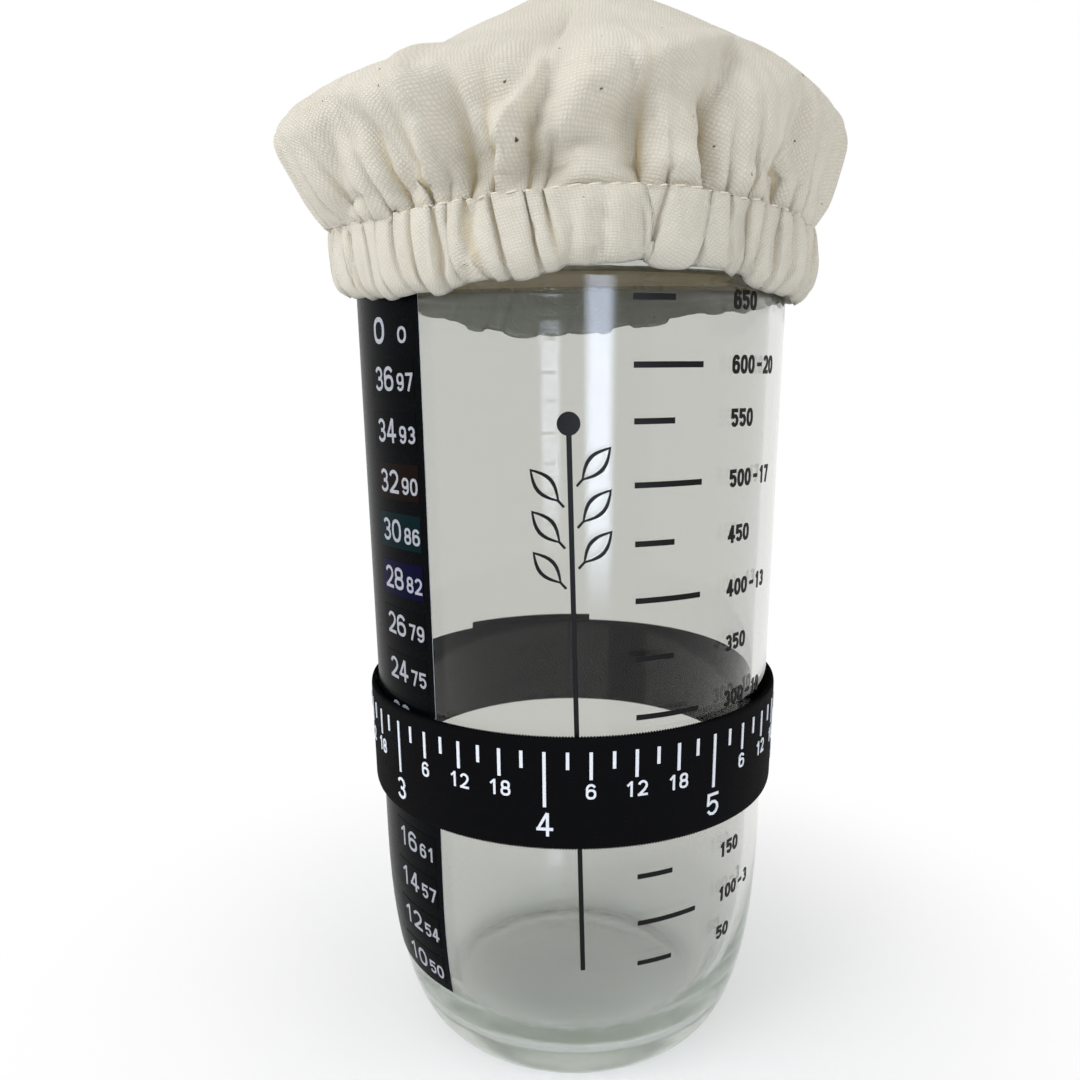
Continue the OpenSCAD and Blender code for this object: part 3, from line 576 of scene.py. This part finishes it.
def folded(turn, out, radius, folds):
    """How far the folds push the cloth out, in mm, at azimuths and one distance from its middle."""
    push = 0 * turn
    for height, left, right, line in folds:
        away = np.array([p[1] for p in line], float)
        azimuth = np.radians([p[0] for p in line])
        if out < away[0] - 6:
            continue
        lean = (np.interp(out + 1, away, azimuth) - np.interp(out - 1, away, azimuth)) / 2 * radius
        off = around(turn - np.interp(out, away, azimuth)) * radius / np.sqrt(1 + lean * lean)
        begin = ease((out - away[0] + 6) / (6 + 2 * abs(height)))
        if height < 0:
            push = push + height * begin * np.exp(-(np.sqrt(off * off + 0.25) - 0.5) / np.where(off < 0, left, right))
        else:
            end = 1 if away[-1] > 73 else min(1, max(0, (away[-1] + 4 - out) / 5))
            push = push + height * begin * end * np.exp(-(off / np.where(off < 0, left, right)) ** 2)
    return push


def bulge(a):
    """How far the crown bulges to its sides."""
    return (1.2 * np.cos(a) - 2 * np.sin(a) - 0.9 * np.cos(2 * a) - 2.4 * np.sin(2 * a)
            - 0.8 * np.cos(3 * a) - 1.5 * np.sin(3 * a))


def hang(a):
    """How much higher the hem hangs."""
    return (1.6 * np.cos(a) - 0.7 * np.sin(a) - 0.8 * np.cos(2 * a) + 0.7 * np.sin(2 * a)
            + 1.9 * np.cos(3 * a) + 1.2 * np.sin(3 * a))


def slump(a, out):
    """How far the cloth stands out and up beyond its round form, at azimuths and a distance from its middle."""
    wide = 1.2 * math.exp(-((out - 54) / 7) ** 2) + (0.5 * np.sin(a) - 0.9) * math.exp(-((out - 64) / 7) ** 2)
    wide = wide - 1.3 * np.exp(-(around(a) / 0.75) ** 2) * math.exp(-((out - 66) / 9) ** 2)
    high = (2.4 * math.exp(-(out / 17) ** 2) - 0.6 * math.exp(-((out - 52) / 8) ** 2)
            + (0.9 * np.sin(a) - 1.3) * math.exp(-((out - 36) / 9) ** 2))
    return wide, high


def by_length(dome, side, count):
    """Points down a profile from the edge of its cap, closer together towards the seam."""
    line = np.vstack([dome[dome[:, 0] > MIDDLE_CUT], side, [[SEAM_R, SEAM_Z]]])
    run = np.concatenate([[0], np.cumsum(np.linalg.norm(np.diff(line, axis=0), axis=1))])
    at = run[-1] * np.linspace(0, 1, count) ** 0.85
    return np.stack([np.interp(at, run, line[:, 0]), np.interp(at, run, line[:, 1])], 1)


def crown_start():
    """The crown before it is simulated: rows of points, and each row's distance from the cloth's middle."""
    profile = by_length(
        bezier((3, CROWN_TOP), (25, CROWN_TOP - 6.6), (CROWN_R - 0.5, CROWN_Z + 9), (CROWN_R, CROWN_Z), 200),
        bezier((CROWN_R, CROWN_Z), (CROWN_R + 0.2, CROWN_Z - 6), (SEAM_R + 2.2, SEAM_Z + 3.5), (SEAM_R, SEAM_Z), 100),
        CROWN_ROWS)
    outs = MIDDLE_CUT + (SEAM_CUT - MIDDLE_CUT) * np.linspace(0, 1, CROWN_ROWS) ** 0.85
    folds = FOLDS + BACK_FOLDS + small_folds()
    rows = []
    for (r0, z0), out in zip(profile, outs):
        drawn = max(0, (out - r0) / (SEAM_CUT - SEAM_R))
        above = SEAM_CUT - out
        turn = cut_turn + (seam_turn - cut_turn) * drawn
        s = np.clip((z0 - SEAM_Z) / (CROWN_TOP - SEAM_Z), 0, 1)
        wide, high = slump(turn, out)
        r = r0 + np.sin(math.pi * np.minimum(1, 1.1 * s + 0.05)) * bulge(turn) + wide
        depth = np.minimum(seam_depth, 2.2 + above / 4)
        r = r - depth * np.exp(-(above / crease_reach[nearest]) ** 1.5) * drawn ** 0.5
        r = r + 0.35 * np.minimum(panel_mm, 5) * math.exp(-above / 14) * min(1, above / 3)
        r = r + folded(turn, out, r0, folds) * (0.35 + 0.65 * min(1, above / 4))
        z = z0 + 5 * s * np.sin(turn) * r0 / 50 + 0.5 * hang(turn) * (1 - s) + high
        least = NECK_R + 2.3 + 2.2 * ease((176 - z) / 8)
        r = np.where(z < 178, least + np.logaddexp(0, 1.5 * (r - least)) / 1.5, r)
        rows.append(np.stack([r * np.sin(turn), -r * np.cos(turn), z], -1))
    return np.array(rows), outs


def cap(ring):
    """Rows from the middle out to the crown's first ring."""
    middle = ring.mean(axis=0)
    shares = np.linspace(0.03, 1, CAP_ROWS, endpoint=False)
    return np.array([middle + (ring - middle) * t + (0, 0, CAP_RISE * (1 - t * t)) for t in shares]), shares * MIDDLE_CUT


crown, outs = crown_start()
print("the crown has", crown.shape[0], "rows and", len(FOLDS), "folds in front")

# %% [markdown]
# Below the seam the same creases run on down the channel, a little aslant, with small ones between them.
# The lower edge hangs in scallops, and the cloth turns up behind it to its inner edge.

# %% The channel
MINOR_CREASES, ELASTIC_R = 110, 45.2


def near(values, spread=9):
    """Smooths values round the ring."""
    weights = np.hanning(spread + 2)[1:-1]
    half = spread // 2
    return np.convolve(np.concatenate([values[-half:], values, values[:half]]), weights / weights.sum(), "valid")


def channel():
    """Rows of points from the seam down to the lower edge and up inside."""
    count = len(crease_at)
    lean_of = 0.03 - 0.05 * np.sin(crease_at) + 0.04 * chance.normal(size=count)
    pull = np.exp(-(from_crease * SEAM_R / 3) ** 2) + 1e-6
    lean = (pull * lean_of).sum(axis=1) / pull.sum(axis=1)
    which = np.searchsorted(crease_at, seam_turn % (2 * math.pi)) % count
    droop = near(chance.uniform(-0.9, 0.7, count)[which])
    pushed = near(chance.uniform(-0.5, 0.8, count)[which])
    fades = chance.uniform(-0.8, 0.6, count)[nearest]
    bend = near(chance.normal(size=count)[which]) * 0.016
    small = [(at, -0.05 * math.sin(at) + chance.normal() * 0.05, chance.uniform(0.4, 1.3), chance.uniform(0.35, 0.8))
             for at in chance.uniform(0, 2 * math.pi, MINOR_CREASES)]
    high = SEAM_Z + 0.5 * hang(seam_turn)
    low = near(HEM_Z + hang(seam_turn) - droop - 0.9 * np.minimum(panel_mm, 3.5) / 3.5 + 0.9)
    opened = seam_turn + 0.35 * (cut_turn - seam_turn)
    rows = []
    for u in np.linspace(0, 1, HEM_ROWS + 1)[1:]:
        turn = seam_turn + lean * u + bend * math.sin(math.pi * u) + (opened - seam_turn) * u * u
        arch = math.sin(math.pi * u) ** 0.7
        r = SEAM_R + 0.1 + 0.4 * arch - 0.6 * u
        r = r - np.minimum(seam_depth, 1.6) * np.clip(0.75 + fades * (2 * u - 1), 0.05, 1.1)
        r = r + (0.14 * np.minimum(panel_mm, 3) + pushed) * arch
        for at, slope, deep, wide in small:
            off = around(turn - at - slope * (u - 0.5)) * SEAM_R
            r = r - deep * arch * np.exp(-np.sqrt(off * off + 0.09) / wide)
        r = ELASTIC_R + np.logaddexp(0, 2.5 * (r - ELASTIC_R)) / 2.5
        rows.append((turn, r - 2.2 * u ** 10, high + (low - high) * u))
    for u in np.linspace(0, 1, INNER_ROWS + 1)[1:]:
        rows.append((opened + lean * (1 - u), HEM_IN + 1.1 * (1 - u) ** 5 + 0 * low,
                     low + 0.3 + (high - 1 - low) * u ** 1.2))
    return np.array([np.stack([r * np.sin(t), -r * np.cos(t), z], -1) for t, r, z in rows])


print("the channel has", HEM_ROWS + INNER_ROWS, "rows")

# %% [markdown]
# A real cover was never pressed into this form: more cloth was cut than the form holds, and it buckled. So
# the crown and the channel are simulated as cloth. Near the seam its springs are up to a tenth longer than
# the start, and a light push from inside stands for its stiffness. The part inside the channel is held.
# Lengths in the simulation are ten times the real ones, where the solver's steps are steady.

# %% The cover as cloth
SIM_SCALE, SIM_FRAMES, HOLD, GROWTH = 0.01, 14, 0.2, 0.1


def relax(points, hold, grow):
    """Lets the cloth buckle and gives its points back. Each row has its hold and its share of the growth."""
    rows, columns = points.shape[:2]
    data = bpy.data.meshes.new("cloth test")
    data.from_pydata((points.reshape(-1, 3) * SIM_SCALE).tolist(), [],
                     [tuple(reversed(f)) for f in ring_faces(rows, columns)] + [tuple(range(columns))])
    body = bpy.data.objects.new("cloth test", data)
    bpy.context.scene.collection.objects.link(body)
    held, kept = (body.vertex_groups.new(name=n) for n in ("held", "kept"))
    for i in range(rows):
        row = list(range(i * columns, (i + 1) * columns))
        held.add(row, hold[i], "REPLACE")
        kept.add(row, 1 - grow[i], "REPLACE")
    cloth = body.modifiers.new("cloth", "CLOTH").settings
    cloth.vertex_group_mass, cloth.vertex_group_shrink = "held", "kept"
    cloth.shrink_min, cloth.shrink_max = -GROWTH, 0
    cloth.quality, cloth.mass, cloth.air_damping = 4, 0.05, 0.5
    cloth.tension_stiffness = cloth.compression_stiffness = 40
    cloth.shear_stiffness, cloth.bending_stiffness, cloth.bending_damping = 10, 1, 0.5
    cloth.tension_damping = cloth.compression_damping = cloth.shear_damping = 0.5
    cloth.use_pressure, cloth.uniform_pressure_force = True, 0.25
    cloth.effector_weights.gravity = 0
    for frame_number in range(1, SIM_FRAMES + 1):
        bpy.context.scene.frame_set(frame_number)
    done = body.evaluated_get(bpy.context.evaluated_depsgraph_get())
    out = np.zeros(rows * columns * 3)
    done.data.vertices.foreach_get("co", out)
    bpy.data.objects.remove(body)
    bpy.data.meshes.remove(data)
    bpy.context.scene.frame_set(1)
    return out.reshape(rows, columns, 3) / SIM_SCALE


points = np.vstack([crown, channel()])
hold = [HOLD + (1 - HOLD) * math.exp(-((out - MIDDLE_CUT) / 8) ** 2) for out in outs[:-1]] + [0.3]
hold += [HOLD] * (HEM_ROWS - 2) + [0.4, 0.8] + [1.0] * INNER_ROWS
grow = [math.exp(-(SEAM_CUT - out) / 9) for out in outs] + [0.6] * HEM_ROWS + [0.0] * INNER_ROWS
started = points
points = relax(points, hold, grow)
print("the cloth moved", round(float(np.linalg.norm(points - started, axis=2).mean()), 2), "mm on average")
outside = points[:CROWN_ROWS + HEM_ROWS - 4]
radius = np.hypot(outside[..., 0], outside[..., 1])
around_neck = np.where(outside[..., 2] < 174, NECK_R + 1.8, 0)
around_neck[CROWN_ROWS:] = np.where(outside[CROWN_ROWS:, :, 2] < 167, ELASTIC_R - 0.15, around_neck[CROWN_ROWS:])
outside[..., :2] *= np.maximum(1, around_neck / radius)[..., None]
inner, cap_outs = cap(points[0])
points = np.vstack([inner, points])
rows, columns = points.shape[:2]
seam_row = CAP_ROWS + CROWN_ROWS
cloth = mesh_piece("cotton_cover", points.reshape(-1, 3),
                   [tuple(reversed(f)) for f in ring_faces(rows, columns)] + [tuple(range(columns))])
below = np.linspace(SEAM_CUT, CUT_R, rows - seam_row + 1)[1:]
along = np.concatenate([cap_outs, outs, below])
flat = np.stack([np.outer(along, np.sin(cut_turn)), np.outer(along, -np.cos(cut_turn)), np.zeros((rows, columns))], -1)
cloth.data.attributes.new("cut_mm", "FLOAT_VECTOR", "POINT").data.foreach_set("vector", flat.ravel())
# Painted shade: the crease attribute sets an ochre tint on the cloth. It is strongest in the creases at the seam,
# weaker down the channel and fades up the crown, where light between the folds turns warm and dim.
fading = np.exp(-(np.clip(SEAM_CUT - along, 0, None)[:, None] / (0.6 * crease_reach[nearest])) ** 2)
deep = np.clip(seam_depth / 1.2 - 0.4, 0, 1) * fading * np.interp(along, [75, 77, 88, 90], [1, 0.4, 0.4, 0])[:, None]
cloth.data.attributes.new("crease", "FLOAT", "POINT").data.foreach_set("value", deep.ravel())
thick = cloth.modifiers.new("thickness", "SOLIDIFY")
thick.thickness, thick.offset = 0.4 * MM, -1
print("the cloth has", rows * columns, "points")

# %% [markdown]
# The seam is sewn by machine with a thicker thread. Each stitch lies on the cloth for two millimetres, a
# little aslant, and dips into it at both ends.

# %% The seam's stitches
STITCH_MM, STITCH_STEP, STITCH_R, SIDES = 2.2, 3.1, 0.13, 6


def sewn():
    """Points and faces of the stitches along the seam."""
    line = points[seam_row]
    line = np.vstack([line, line[:1]])
    run = np.concatenate([[0], np.cumsum(np.linalg.norm(np.diff(line, axis=0), axis=1))])
    corners, faces = [], []
    for start in np.arange(0, run[-1] - STITCH_STEP, STITCH_STEP):
        at = start + np.linspace(0, STITCH_MM, 7)
        path = np.stack([np.interp(at, run, line[:, k]) for k in range(3)], 1)
        out = path * (1, 1, 0) / np.linalg.norm(path[:, :2], axis=1)[:, None]
        path = path + out * (0.0 - 0.35 * np.linspace(-1, 1, 7)[:, None] ** 4)
        path[:, 2] += np.linspace(-0.1, 0.1, 7) + chance.normal() * 0.06
        forward = np.gradient(path, axis=0)
        forward /= np.linalg.norm(forward, axis=1)[:, None]
        across = np.cross(forward, out)
        first = len(corners) * SIDES
        for p, n, o in zip(path, across, out):
            spin = np.linspace(0, 2 * math.pi, SIDES, endpoint=False)[:, None]
            corners.append(p + STITCH_R * (np.cos(spin) * n + np.sin(spin) * o))
        faces += [tuple(first + i for i in f) for f in ring_faces(7, SIDES)]
        faces += [tuple(first + k for k in range(SIDES))[::-1], tuple(first + 6 * SIDES + k for k in range(SIDES))]
    return np.vstack(corners), faces


stitches = mesh_piece("seam_stitches", *sewn())
print("stitches:", len(stitches.data.polygons) // (6 * SIDES + 2))

# %% [markdown]
# The cloth is a plain weave of cotton, cream because it wasn't bleached, with dark specks of seed husk.
# Its threads lie about 0.6 mm apart. The weave follows the cut's own millimetres, which each point
# of the sheet remembers, so it bends with the pleats.

# %% Cotton
THREAD_MM, SPECK_MM = 0.58, 9.0
cotton, tree, shader = material("unbleached plain-weave cotton", Roughness=0.9, IOR=1.5, Sheen_Weight=0.15,
                                Sheen_Roughness=0.5, Specular_IOR_Level=0.2, Base_Color=linear("#f4efe4"))
flat = add(tree, "Attribute", attribute_name="cut_mm")
slack = add(tree, "TexNoise", {"Vector": flat.outputs["Vector"], "Scale": 0.35, "Detail": 2.0})
pulled = add(tree, "VectorMath", {0: slack.outputs["Color"], 1: flat.outputs["Vector"]}, operation="ADD")
flat_xy = add(tree, "SeparateXYZ", {0: pulled})
waves = [add(tree, "Math", {0: add(tree, "Math", {0: flat_xy.outputs[axis], 1: math.pi / THREAD_MM},
                                   operation="MULTIPLY")}, operation="SINE") for axis in "XY"]
weave = add(tree, "Math", {0: add(tree, "Math", {0: waves[0], 1: waves[1]}, operation="MULTIPLY")},
            operation="ABSOLUTE")
cloud = add(tree, "TexNoise", {"Vector": flat.outputs["Vector"], "Scale": 0.08, "Detail": 5.0})
base = ramp(tree, cloud.outputs["Fac"], [(0.3, "#f3efe2"), (0.7, "#fbf8ed")])
threads = add(tree, "MapRange", {"Value": weave, "To Min": 0.82, "To Max": 1.0})
shaded = add(tree, "VectorMath", {0: base, "Scale": threads.outputs[0]}, operation="SCALE")


# Painted shade: the crease attribute lays an ochre tint over the creases.
painted_crease_shade = add(tree, "Attribute", attribute_name="crease")
with_crease_shade = over(tree, shaded.outputs[0], painted_crease_shade.outputs["Fac"], "#e0cd9e")
wobble = add(tree, "TexNoise", {"Vector": flat.outputs["Vector"], "Scale": 1.5, "Detail": 1.0})
spread = add(tree, "VectorMath", {0: flat.outputs["Vector"], 1: wobble.outputs["Color"]}, operation="ADD")
cells = add(tree, "TexVoronoi", {"Vector": spread, "Scale": 1 / SPECK_MM}, voronoi_dimensions="2D")
luck = add(tree, "SeparateXYZ", {0: cells.outputs["Color"]})
size = add(tree, "MapRange", {"Value": luck.outputs["X"], "From Min": 0.45, "To Min": 0.0, "To Max": 0.034})
edge = add(tree, "Math", {0: size, 1: cells.outputs["Distance"]}, operation="SUBTRACT")
speck = add(tree, "MapRange", {"Value": edge, "To Max": 1.0, "From Max": 0.008})
specked = over(tree, with_crease_shade, speck, "#4f3a26")
tree.links.new(specked, shader.inputs["Base Color"])
link(tree, shader, Normal=add(tree, "Bump", {"Height": weave, "Strength": 0.8, "Distance": 0.00014}))
through = add(tree, "BsdfTranslucent", {"Color": linear("#efe2c2")})
lit = add(tree, "MixShader", {"Fac": 0.24, 1: shader, 2: through})
tree.links.new(lit.outputs[0], tree.nodes["Material Output"].inputs["Surface"])
give(cloth, cotton)
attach(cloth, "cover")
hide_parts("cover_crown", "cover_hem")
elastic, tree, shader = material("braided white elastic", Roughness=0.7, IOR=1.5)
braid = add(tree, "TexWave", {"Vector": in_mm(tree), "Scale": 0.6, "Distortion": 1.0})
link(tree, shader, Base_Color=ramp(tree, braid.outputs["Fac"], [(0, "#d8d8d2"), (1, "#f0f0ec")]))
give(nodes["cover_elastic"], elastic)
sewing, tree, shader = material("cotton sewing thread", Roughness=0.7, IOR=1.5)
twist = add(tree, "TexWave", {"Vector": in_mm(tree), "Scale": 1.2, "Distortion": 1.0})
link(tree, shader, Base_Color=ramp(tree, twist.outputs["Fac"], [(0, "#e3dac4"), (1, "#efe8d6")]))
give(stitches, sewing)
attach(stitches, "cover")
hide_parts("cover_stitching")
print("the cloth's flat area in square metres:", CUT_AREA)
